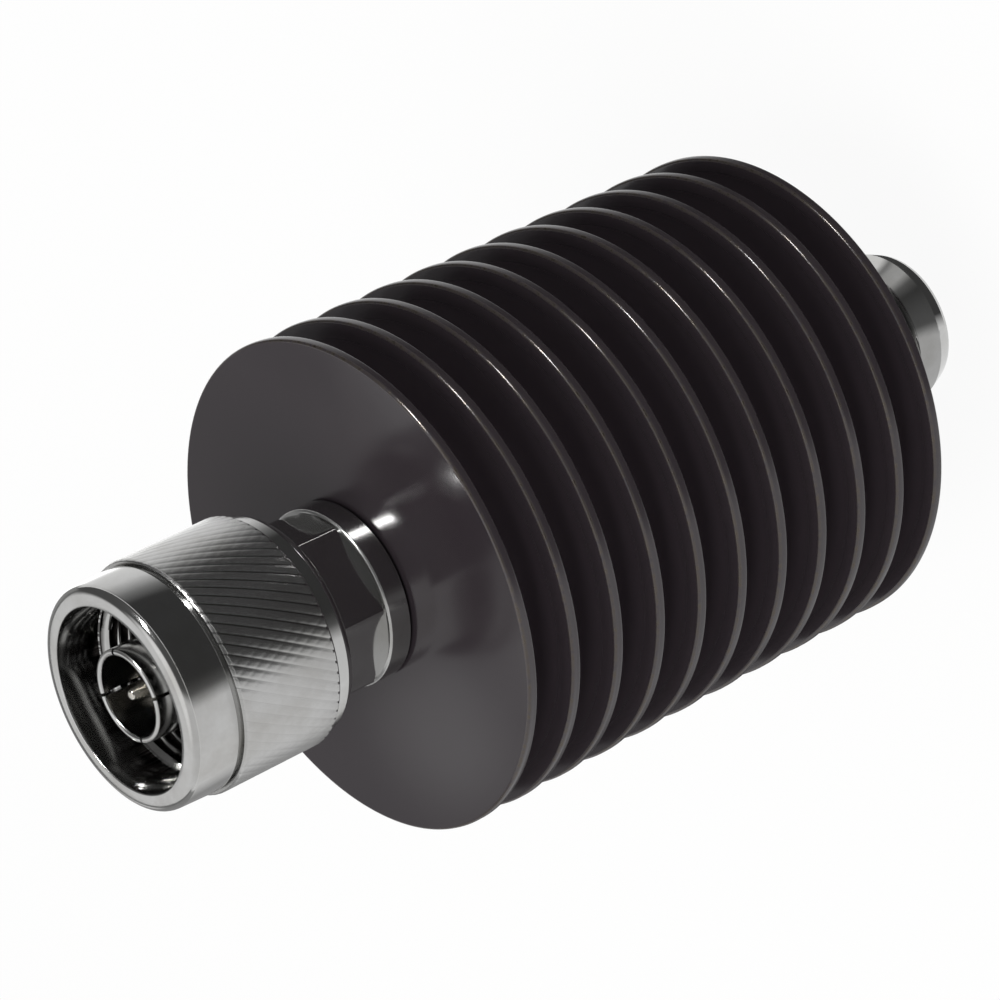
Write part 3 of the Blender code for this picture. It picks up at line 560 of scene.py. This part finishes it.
def rear_outline(bore, spigot_end, collar_rear, shoulder, hexagon_end):
    """A body's outline from its bore over spigot and collar to the hexagon's end, given the four heights."""
    way = math.copysign(1, hexagon_end - spigot_end)
    return [(bore, spigot_end), (SPIGOT_RADIUS, spigot_end, SPIGOT_EDGE), (SPIGOT_RADIUS, collar_rear),
            (COLLAR_RADIUS, collar_rear, BODY_EDGE), (COLLAR_RADIUS, shoulder, SHOULDER_EDGE),
            (FLAT_REACH, shoulder, 0, CORNER_CAP - SHOULDER_EDGE),
            (FLAT_REACH, shoulder + way * SHOULDER_EDGE, 0, CORNER_CAP),
            (FLAT_REACH, hexagon_end - way * CORNER_CHAMFER_LENGTH, 0, CORNER_CAP),
            (FLAT_REACH, hexagon_end, 0, CORNER_CHAMFERED)]


def milled_rows(outline, around, closed=True):
    """Rings that follow the hexagon wherever the outline gives a corner cap; the radius there is the flat's."""
    rings, wear = round_rows(outline, around, closed)
    to_corner = 1 / np.cos(np.mod(around, math.pi / 3) - math.pi / 6)
    for ring, (radius, _, _, cap) in zip(rings, eased(outline, closed)):
        if cap:
            reach = np.minimum(radius * to_corner, cap)
            ring[:, 0], ring[:, 1] = reach * np.cos(around), reach * np.sin(around)
    return rings, wear


def thread_wave(turns):
    """0 at a thread's crest and 1 at its root: flat crest, 60 degree flanks, rounded root."""
    phase = np.abs(np.mod(turns, 1.0) - 0.5) * 2
    return 0.5 - 0.5 * np.cos(math.pi * np.clip((THREAD_CREST - phase) / THREAD_FLANK, 0, 1))


def thread_rows(around, heights, crest, root, ends):
    """Rings of a right-hand thread; ends(radius, height) is what the turned chamfers leave of the radius."""
    rings, grooves = [], []
    for height in heights:
        wave = thread_wave(height / THREAD_PITCH - around / (2 * math.pi))
        radius = ends(crest + (root - crest) * wave, height)
        rings.append(ring_at(radius, around, height))
        grooves.append(wave)
    return rings, grooves


def joined(name, *parts):
    """One mesh over several runs of rings, each given as (rings, wear, groove depths or None)."""
    rings, wear, grooves = [], [], []
    for part_rings, part_wear, part_grooves in parts:
        rings += part_rings
        wear += part_wear
        grooves += part_grooves or [np.zeros(len(ring)) for ring in part_rings]
    return skinned(name, rings, wear, groove=grooves)


# Bright nickel over turned brass: neutral grey, glossy enough to mirror the room. The plating rounds off the
# tool marks, 0.05 mm apart in life and drawn at 0.2 mm; handling leaves it a little duller in patches. Rolled
# knurls and rubbed edges are satin, so they gather light broadly, and dirt stays in threads and knurls.
NICKEL, NICKEL_TARNISHED, GROOVE_DIRT = "#c4c4c3", "#b2b1ae", "#383635"
NICKEL_MARKS = 0.2
SATIN = 0.27                     # roughness where rolled or rubbed
nickel, tree, shader = finish("nickel_plated_turned_brass", Metallic=1.0)
marks = turning_marks(tree, NICKEL_MARKS, 5)
spot = add(tree, "ShaderNodeTexCoord").outputs["Object"]
handling = add(tree, "ShaderNodeTexNoise", {"Vector": spot, "Scale": 1 / (5 * MM), "Detail": 5.0, "Roughness": 0.6})
tarnish = add(tree, "ShaderNodeMapRange", {"Value": handling.outputs["Fac"], "From Min": 0.4, "From Max": 0.75})
plate = add(tree, "ShaderNodeMix", {"Factor": tarnish.outputs[0], 6: linear(NICKEL), 7: linear(NICKEL_TARNISHED)},
            data_type="RGBA")
groove = add(tree, "ShaderNodeAttribute", attribute_name="groove")
grime = add(tree, "ShaderNodeMapRange", {"Value": groove.outputs["Fac"], "From Min": 0.35, "From Max": 1.0,
                                         "To Max": 0.85})
colour = add(tree, "ShaderNodeMix", {"Factor": grime.outputs[0], 6: plate.outputs[2], 7: linear(GROOVE_DIRT)},
             data_type="RGBA")
tree.links.new(colour.outputs[2], shader["Base Color"])
dull = add(tree, "ShaderNodeMapRange", {"Value": handling.outputs["Fac"], "From Min": 0.35, "From Max": 0.7,
                                        "To Min": 0.09, "To Max": 0.16})
wear = add(tree, "ShaderNodeAttribute", attribute_name="wear")
satin = add(tree, "ShaderNodeMapRange", {"Value": wear.outputs["Fac"], "To Min": dull.outputs[0], "To Max": SATIN})
tree.links.new(satin.outputs[0], shader["Roughness"])
bump = add(tree, "ShaderNodeBump", {"Height": marks.outputs["Fac"], "Strength": 0.04, "Distance": 0.01 * MM})
tree.links.new(bump.outputs[0], shader["Normal"])

low, high = JACK_THREAD
heights = np.arange(high, low, -THREAD_PITCH / THREAD_ROWS)


def jack_chamfers(radius, height):
    """The thread's ends are turned down to the nose at 45 degrees."""
    low, high = JACK_THREAD
    return np.minimum(radius, JACK_NOSE + min(high - height, height - low))


outside = rear_outline(BEAD_SEAT, *JACK_HEIGHTS) + [(JACK_UNDERCUT, JACK_HEIGHTS[-1]), (JACK_UNDERCUT, high)]
inside = [(JACK_NOSE, low), (JACK_NOSE, JACK_TAPER, 0.12), (JACK_TIP, 0.0, 0.18), (JACK_MOUTH, 0.0, 0.1),
          (JACK_BORE, MOUTH_DEPTH, 0.1), (JACK_BORE, JACK_PLANE), (LINE_BORE, JACK_PLANE, 0.06),
          (LINE_BORE, JACK_BEAD_STEP), (BEAD_SEAT, JACK_BEAD_STEP)]
rings, grooves = thread_rows(body_around, heights, JACK_CREST, JACK_ROOT, jack_chamfers)
body = joined("jack_shell", (*milled_rows(outside, body_around, closed=False), None),
              (rings, [0.0] * len(rings), grooves), (*milled_rows(inside, body_around, closed=False), None))
fitted(body, nickel, "attenuator", "nickel", "jack_body")

# Jack's centre line
# A silver plated socket with four spring fingers, held by a PTFE bead that a brass tube locks against its seat.
# The fingers and the slot for the foil tab are sawn.
NECK_RADIUS, LINE_RADIUS = 1.05, 1.52
SOCKET_FRONT, SOCKET_NECK, SOCKET_TAIL = 4.0, 12.0, 31.3
PIN_HOLE_RADIUS, PIN_HOLE_END = 0.85, 9.6
FINGER_SLOT_WIDTH, FINGER_SLOT_END = 0.35, 8.6
TAIL_SLOT_WIDTH, TAIL_SLOT_DEPTH = 0.75, 1.7
SAW_REACH = 3.0                  # the saw goes this far past the axis
SAW_CLEAR = 0.5                  # and starts this far outside the piece's end
BEAD_HOLE, BEAD_RADIUS = 1.35, 4.05
BEAD_EDGE = 0.1
JACK_BEAD = (12.3, 15.3)
REAR_BORE = 2.45
RETAINER = (15.6, 24.4)
SMALL_STEPS = 64


def turned(name, outline, steps, closed=True):
    """A plain turned piece; an outline that isn't closed starts and ends on the axis."""
    return skinned(name, *round_rows(outline, full_turn(steps), closed), closed=closed)


def tube_outline(inner, outer, heights, outer_edge, inner_edge=0.0):
    """Outline of a plain ring or tube."""
    low, high = heights
    return [(inner, low, inner_edge), (outer, low, outer_edge), (outer, high, outer_edge), (inner, high, inner_edge)]


def sawn(piece, width, low, high, reach, turn=0.0):
    """Cuts a slot right across the piece, from one height to the other, all in mm."""
    x, y = reach * MM, width / 2 * MM
    saw = bpy.data.meshes.new("saw")
    bm = bmesh.new()
    bmesh.ops.create_cube(bm, size=2.0)
    for vert in bm.verts:
        across = Vector((vert.co.x * x, vert.co.y * y, 0))
        across.rotate(Quaternion((0, 0, 1), turn))
        vert.co = (across.x, across.y, (high if vert.co.z > 0 else low) * MM)
    bm.to_mesh(saw)
    bm.free()
    blade = bpy.data.objects.new("saw", saw)
    bpy.context.scene.collection.objects.link(blade)
    step = piece.modifiers.new("saw", "BOOLEAN")
    step.operation, step.solver, step.object = "DIFFERENCE", "EXACT", blade
    bpy.context.view_layer.update()
    whole = piece.data
    piece.data = bpy.data.meshes.new_from_object(piece.evaluated_get(bpy.context.evaluated_depsgraph_get()))
    piece.modifiers.clear()
    for mesh, owner in ((saw, blade), (whole, None)):
        if owner:
            bpy.data.objects.remove(owner)
        bpy.data.meshes.remove(mesh)
    piece.data.name = piece.name


# Silver plate on turned beryllium copper: pale, burnished bright where it mates, faintly yellowed by air
# elsewhere. The tool marks under it are too fine to show and are drawn at 0.15 mm.
PLATE_SILVER, PLATE_TARNISHED = "#d6d4cf", "#b1aca1"
PLATE_MARKS = 0.15
silver_plate, tree, shader = finish("silver_plated_beryllium_copper", Metallic=1.0)
marks = turning_marks(tree, PLATE_MARKS, 4)
burnish = add(tree, "ShaderNodeTexNoise", {"Vector": add(tree, "ShaderNodeTexCoord").outputs["Object"],
                                           "Scale": 1 / (1.5 * MM), "Detail": 3.0})
colour = add(tree, "ShaderNodeMix", {"Factor": burnish.outputs["Fac"], 6: linear(PLATE_SILVER),
                                     7: linear(PLATE_TARNISHED)}, data_type="RGBA")
tree.links.new(colour.outputs[2], shader["Base Color"])
rough = add(tree, "ShaderNodeMapRange", {"Value": burnish.outputs["Fac"], "To Min": 0.12, "To Max": 0.28})
tree.links.new(rough.outputs[0], shader["Roughness"])
bump = add(tree, "ShaderNodeBump", {"Height": marks.outputs["Fac"], "Strength": 0.1, "Distance": 0.01 * MM})
tree.links.new(bump.outputs[0], shader["Normal"])

# PTFE, turned from rod: waxy white, lets a little light in. Its tool marks are drawn at 0.2 mm, to show.
PTFE, PTFE_SHADE = "#ecebe5", "#dfddd4"
PTFE_MARKS = 0.2
ptfe, tree, shader = finish("turned_ptfe", Metallic=0.0, IOR=1.38, Roughness=0.42, Subsurface_Weight=0.25,
                            Subsurface_Scale=0.4 * MM)
marks = turning_marks(tree, PTFE_MARKS, 3)
colour = add(tree, "ShaderNodeMix", {"Factor": marks.outputs["Fac"], 6: linear(PTFE), 7: linear(PTFE_SHADE)},
             data_type="RGBA")
tree.links.new(colour.outputs[2], shader["Base Color"])
bump = add(tree, "ShaderNodeBump", {"Height": marks.outputs["Fac"], "Strength": 0.25, "Distance": 0.02 * MM})
tree.links.new(bump.outputs[0], shader["Normal"])

outline = [(0, SOCKET_TAIL), (NECK_RADIUS, SOCKET_TAIL, 0.05), (NECK_RADIUS, SOCKET_NECK),
           (LINE_RADIUS, SOCKET_NECK, 0.06), (LINE_RADIUS, SOCKET_FRONT, 0.15), (PIN_HOLE_RADIUS, SOCKET_FRONT, 0.12),
           (PIN_HOLE_RADIUS, PIN_HOLE_END), (0, PIN_HOLE_END)]
socket = turned("jack_socket", outline, SMALL_STEPS, closed=False)
for turn in (0.0, math.pi / 2):
    sawn(socket, FINGER_SLOT_WIDTH, SOCKET_FRONT - SAW_CLEAR, FINGER_SLOT_END, SAW_REACH, turn)
sawn(socket, TAIL_SLOT_WIDTH, SOCKET_TAIL - TAIL_SLOT_DEPTH, SOCKET_TAIL + SAW_CLEAR, SAW_REACH)
fitted(socket, silver_plate, "attenuator", "silver_plate", "jack_socket_contact")

bead = turned("jack_insulator", tube_outline(BEAD_HOLE, BEAD_RADIUS, JACK_BEAD, BEAD_EDGE), SMALL_STEPS)
fitted(bead, ptfe, "attenuator", "ptfe", "jack_bead")
low, high = RETAINER
retainer = turned("jack_bead_tube", [(REAR_BORE, low), (BEAD_RADIUS, low, BEAD_EDGE), (BEAD_RADIUS, high, BEAD_EDGE),
                                     (REAR_BORE, high, BEAD_EDGE)], SMALL_STEPS)
fitted(retainer, nickel, "attenuator", "nickel", "jack_bead_retainer")

# Plug body
# The same spigot and collar as the jack's, a longer hexagon, then a plain neck that the nut turns on, with a
# groove for the ring that keeps the nut from coming off.
PLUG_HEIGHTS = (58.4, 65.7, 67.9, 72.85)    # spigot's end, collar's rear, shoulder, hexagon's end
NECK, NECK_END = 6.6, 78.3
GROOVE_RADIUS, GROOVE_EDGE = 5.9, 0.06
GROOVE_LOW, GROOVE_HIGH = 75.4, 77.0
PLUG_BEAD_STEP = 70.7
outline = rear_outline(REAR_BORE, *PLUG_HEIGHTS) + [
    (NECK, PLUG_HEIGHTS[-1]), (NECK, GROOVE_LOW, GROOVE_EDGE), (GROOVE_RADIUS, GROOVE_LOW),
    (GROOVE_RADIUS, GROOVE_HIGH), (NECK, GROOVE_HIGH, GROOVE_EDGE), (NECK, NECK_END, 0.15),
    (BEAD_SEAT, NECK_END, 0.08), (BEAD_SEAT, PLUG_BEAD_STEP), (REAR_BORE, PLUG_BEAD_STEP)]
body = skinned("plug_shell", *milled_rows(outline, body_around))
fitted(body, nickel, "attenuator", "nickel", "plug_body")

# Plug's contacts
# The outer contact is a thin tube sawn into four fingers that spring into the mating jack; the plated pin stands
# in the PTFE bead inside it, and a rubber ring on the neck's face keeps water out.
TUBE_OUTER, TUBE_INNER = 4.05, 3.5
TUBE_REAR, TUBE_END = 74.3, 88.7
TUBE_LIP = 0.24                  # rounding of its front edges
TUBE_STEPS = 96
TUBE_SLOT_WIDTH, TUBE_SLOT_FOOT = 0.28, 81.9
TUBE_SLOT_TURN = math.radians(65)
TUBE_SAW_REACH = 6.0
PIN_TAIL, PIN_SHOULDER, PIN_TAPER, PIN_END = 51.5, 83.4, 86.75, 88.4
PIN_RADIUS, PIN_TIP = 0.825, 0.4
PLUG_BEAD = (71.0, 74.0)
tube = turned("plug_contact_tube", [(TUBE_INNER, TUBE_REAR), (TUBE_OUTER, TUBE_REAR, 0.08),
                                    (TUBE_OUTER, TUBE_END, TUBE_LIP), (TUBE_INNER, TUBE_END, TUBE_LIP)], TUBE_STEPS)
for quarter in range(2):
    sawn(tube, TUBE_SLOT_WIDTH, TUBE_SLOT_FOOT, TUBE_END + SAW_CLEAR, TUBE_SAW_REACH,
         TUBE_SLOT_TURN + quarter * math.pi / 2)
fitted(tube, nickel, "attenuator", "nickel", "plug_outer_contact")

outline = [(0, PIN_TAIL), (NECK_RADIUS, PIN_TAIL, 0.05), (NECK_RADIUS, TUBE_REAR), (LINE_RADIUS, TUBE_REAR, 0.06),
           (LINE_RADIUS, PIN_SHOULDER, 0.12), (PIN_RADIUS, PIN_SHOULDER, -0.08), (PIN_RADIUS, PIN_TAPER, 0.6),
           (PIN_TIP, PIN_END, 0.3), (0, PIN_END)]
pin = turned("plug_pin", outline, SMALL_STEPS, closed=False)
sawn(pin, TAIL_SLOT_WIDTH, PIN_TAIL - SAW_CLEAR, PIN_TAIL + TAIL_SLOT_DEPTH, SAW_REACH)
fitted(pin, silver_plate, "attenuator", "silver_plate", "plug_centre_pin")

bead = turned("plug_insulator", tube_outline(BEAD_HOLE, BEAD_RADIUS, PLUG_BEAD, BEAD_EDGE), SMALL_STEPS)
fitted(bead, ptfe, "attenuator", "ptfe", "plug_bead")

# Moulded silicone rubber, dark, with a dry bloom that takes the shine off.
RUBBER, RUBBER_BLOOM = "#2b2726", "#3d3836"
silicone, tree, shader = finish("moulded_silicone_rubber", Metallic=0.0, IOR=1.41, Roughness=0.62)
bloom = add(tree, "ShaderNodeTexNoise", {"Vector": add(tree, "ShaderNodeTexCoord").outputs["Object"],
                                         "Scale": 1 / (0.8 * MM), "Detail": 5.0})
colour = add(tree, "ShaderNodeMix", {"Factor": bloom.outputs["Fac"], 6: linear(RUBBER), 7: linear(RUBBER_BLOOM)},
             data_type="RGBA")
tree.links.new(colour.outputs[2], shader["Base Color"])
bump = add(tree, "ShaderNodeBump", {"Height": bloom.outputs["Fac"], "Strength": 0.3, "Distance": 0.02 * MM})
tree.links.new(bump.outputs[0], shader["Normal"])
GASKET_RADII, GASKET_HEIGHTS, GASKET_EDGES = (4.65, 6.4), (78.6, 80.3), (0.35, 0.25)
gasket = turned("plug_gasket_ring", tube_outline(*GASKET_RADII, GASKET_HEIGHTS, *GASKET_EDGES), TUBE_STEPS)
fitted(gasket, silicone, "attenuator", "silicone", "plug_gasket")

# Retaining ring
# Spring wire, rolled to an open ring and cut to length. It is sprung into the neck's groove in front of the
# nut's lip, so the nut turns but can't come off.
RING_RADII, RING_HEIGHTS = (6.2, 7.5), (75.7, 76.7)
RING_EDGE = 0.2
RING_SWEEP = math.radians(320)
RING_STEPS = 88
ring_arc = np.linspace(0, RING_SWEEP, RING_STEPS)
rings, _ = round_rows(tube_outline(*RING_RADII, RING_HEIGHTS, RING_EDGE, RING_EDGE), ring_arc)
count = len(rings)
faces = [(i * RING_STEPS + j, i * RING_STEPS + j + 1, (i + 1) % count * RING_STEPS + j + 1,
          (i + 1) % count * RING_STEPS + j) for i in range(count) for j in range(RING_STEPS - 1)]
faces += [[i * RING_STEPS for i in range(count)], [i * RING_STEPS + RING_STEPS - 1 for i in reversed(range(count))]]
spring = meshed("nut_spring_ring", rings, faces)

# Drawn spring steel, oiled: grey and streaked along the wire by the die, too finely to show, so the streaks are
# drawn at 0.12 mm.
SPRING_STEEL = "#a3a19d"
WIRE_STREAKS = 0.12
spring_steel, tree, shader = finish("drawn_spring_steel", Base_Color=linear(SPRING_STEEL), Metallic=1.0)
streak = turning_marks(tree, WIRE_STREAKS, 2)
rough = add(tree, "ShaderNodeMapRange", {"Value": streak.outputs["Fac"], "To Min": 0.2, "To Max": 0.4})
tree.links.new(rough.outputs[0], shader["Roughness"])
fitted(spring, spring_steel, "attenuator", "spring_steel", "nut_retaining_ring")

# Coupling nut
# Turned brass, nickel plated: a smooth front ring with a well rounded edge, a thin groove, a grip rolled at 30
# degrees both ways but deeper one way, a smooth band, and inside a plain mouth and the thread that draws the two
# connectors together.
KNURL_RADIUS = 10.2
KNURL_GROOVES = 67
KNURL_SAMPLES = 9                # points for each groove
KNURL_DEPTH = 0.05
KNURL_CROSS_DEPTH = 0.017
KNURL_DEEP_SIDE = math.radians(-87)    # the blank ran a little out of true, so the rolls bit deeper here
KNURL_SHALLOW = 0.45             # share of the depth elsewhere
KNURL_FADE = (3.5, 2.35)         # the bite is the first times the cosine from the deep side, less the second
KNURL_HALF_WIDTH = 0.2           # of the spacing
KNURL = (75.1, 84.9)
KNURL_SLANT = math.radians(30)
KNURL_AXIAL = 2 * math.pi * KNURL_RADIUS / KNURL_GROOVES / math.tan(KNURL_SLANT)
KNURL_FOOT = 10.05               # radius where the knurl's end chamfers start
NUT_REAR, NUT_FRONT = 73.15, 89.6
NUT_FRONT_EDGE = 0.8
REAR_FACE_RADIUS = 9.3
REAR_BAND_FOOT, REAR_BAND_RADII = 73.8, (9.7, 9.62)    # the smooth band narrows a little towards the knurl
THIN_GROOVE_RADIUS, THIN_GROOVE_END = 9.5, 85.25
FRONT_RING_REAR, FRONT_RING_FRONT = 9.85, 9.7    # radii of the smooth front ring
NUT_LIP, LIP_FRONT = 6.9, 75.4
NUT_CREST, NUT_ROOT = 7.375, 7.95
NUT_THREAD = (80.3, 85.4)
NUT_THREAD_ROWS = 10             # rings for each turn of the thread
NUT_RELIEF = 8.05
nut_around = full_turn(KNURL_GROOVES * KNURL_SAMPLES)


def cut_into(phase):
    """A V groove at each whole number of its phase."""
    return np.clip(1 - np.abs(phase - np.round(phase)) / KNURL_HALF_WIDTH, 0, 1)


def knurl_rows():
    """Two families of slanting grooves, deepest at one side."""
    low, high = KNURL
    gain, drop = KNURL_FADE
    bite = np.clip(gain * np.cos(nut_around - KNURL_DEEP_SIDE) - drop, KNURL_SHALLOW, 1)
    turns = nut_around * KNURL_GROOVES / (2 * math.pi)
    rings, grooves = [], []
    for height in np.append(np.arange(low, high, KNURL_AXIAL / KNURL_SAMPLES), high):
        main, cross = cut_into(turns - height / KNURL_AXIAL), cut_into(turns + height / KNURL_AXIAL)
        depth = np.maximum(main * KNURL_DEPTH, cross * KNURL_CROSS_DEPTH) * bite
        radius = np.minimum(KNURL_RADIUS - depth, KNURL_FOOT + min(height - low, high - height))
        rings.append(ring_at(radius, nut_around, height))
        grooves.append(depth / KNURL_DEPTH)
    return rings, [1.0] * len(rings), grooves


def nut_chamfers(radius, height):
    """The thread runs out into the counterbore and the relief at 45 degrees."""
    low, high = NUT_THREAD
    return np.maximum(radius, NUT_RELIEF - min(high - height, height - low))


low, high = NUT_THREAD
heights = np.append(np.arange(high, low, -THREAD_PITCH / NUT_THREAD_ROWS), low)
rings, grooves = thread_rows(nut_around, heights, NUT_CREST, NUT_ROOT, nut_chamfers)
rear = [(NUT_LIP, LIP_FRONT), (NUT_LIP, NUT_REAR, 0.1), (REAR_FACE_RADIUS, NUT_REAR, 0.12),
        (REAR_BAND_RADII[0], REAR_BAND_FOOT, 0.3), (REAR_BAND_RADII[1], KNURL[0])]
front = [(THIN_GROOVE_RADIUS, KNURL[1]), (THIN_GROOVE_RADIUS, THIN_GROOVE_END),
         (FRONT_RING_REAR, THIN_GROOVE_END, 0.08), (FRONT_RING_FRONT, NUT_FRONT, NUT_FRONT_EDGE),
         (NUT_RELIEF, NUT_FRONT, 0.12), (NUT_RELIEF, high)]
shell = joined("knurled_coupling_nut", (*round_rows(rear, nut_around, closed=False), None), knurl_rows(),
               (*round_rows(front, nut_around, closed=False), None), (rings, [0.0] * len(rings), grooves),
               (*round_rows([(NUT_RELIEF, LIP_FRONT)], nut_around, closed=False), None))
fitted(shell, nickel, "nut", "nickel", "coupling_nut")
